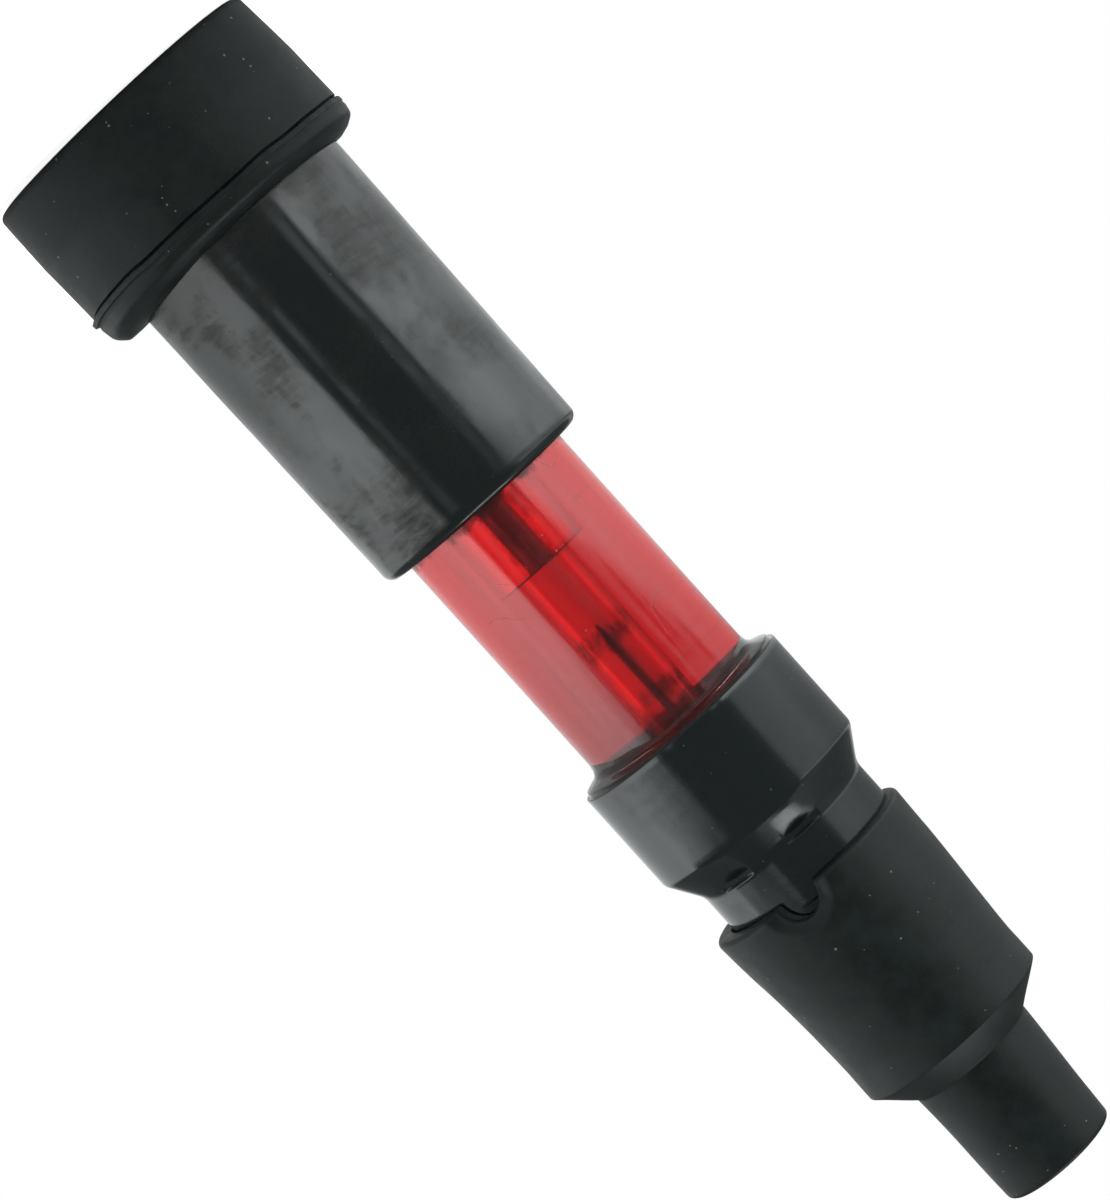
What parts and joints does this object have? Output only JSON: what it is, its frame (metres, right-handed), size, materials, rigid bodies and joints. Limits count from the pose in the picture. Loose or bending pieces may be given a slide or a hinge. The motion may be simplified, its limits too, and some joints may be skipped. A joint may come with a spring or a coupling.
{
  "type": "spark plug cap",
  "caption": "Straight ignition cap with a clear red spark window, a rubber plug boot and a rubber cable boot, joining a high-tension lead to a spark plug.",
  "frame": {"origin": "centre of the plug boot's mouth, on the cap's axis", "axes": "+Z along the axis from the mouth to the cable end; -Y is the side with the key rib"},
  "size_m": [0.0266, 0.0266, 0.1128],
  "materials": {
    "rubber": "matte",
    "black_moulding": "satin moulded, rubbed",
    "gloss_moulding": "glossy moulded",
    "red_clear": "clear red moulded plastic",
    "cement": "set resin cement",
    "brass": "turned",
    "nickel": "nickel plated",
    "spring_steel": "drawn wire",
    "ceramic": "unglazed"
  },
  "bodies": {
    "plug_boot": {"plug_boot": "rubber"},
    "cap": {"plug_housing": "black_moulding", "terminal_insert": "brass", "contact_spring": "spring_steel", "resistor_core": "ceramic", "resistor_cap_plug_end": "nickel", "resistor_cap_gap_end": "nickel", "indicator_window": "red_clear", "socket_cement": "cement", "window_cement": "cement", "cable_housing": "gloss_moulding", "cable_screw": "brass", "screw_washer": "brass", "gap_electrode": "nickel"},
    "terminal_clip": {"terminal_clip": "spring_steel"},
    "terminal": {"terminal_socket": "brass"},
    "cable_boot": {"cable_boot": "rubber"}
  },
  "joints": [
    {"name": "plug_boot_pull", "type": "slide", "parent": "plug_boot", "child": "cap", "axis": [0, 0, 1], "range_m": [0, 0.012]},
    {"name": "cable_boot_pull", "type": "slide", "parent": "cap", "child": "cable_boot", "axis": [0, 0, 1], "range_m": [0, 0.025]},
    {"name": "terminal_travel", "type": "slide", "parent": "cap", "child": "terminal_clip", "axis": [0, 0, -1], "range_m": [0, 0.004], "deforming": ["contact_spring"]},
    {"name": "terminal_turn", "type": "hinge", "parent": "terminal_clip", "child": "terminal", "pos_m": [0, 0, 0.024], "axis": [0, 0, 1], "range_deg": [0, 1800]}
  ],
  "couplings": [
    {"joint": "terminal_turn", "follows": "terminal_travel", "rad_per_m": 7854}
  ]
}
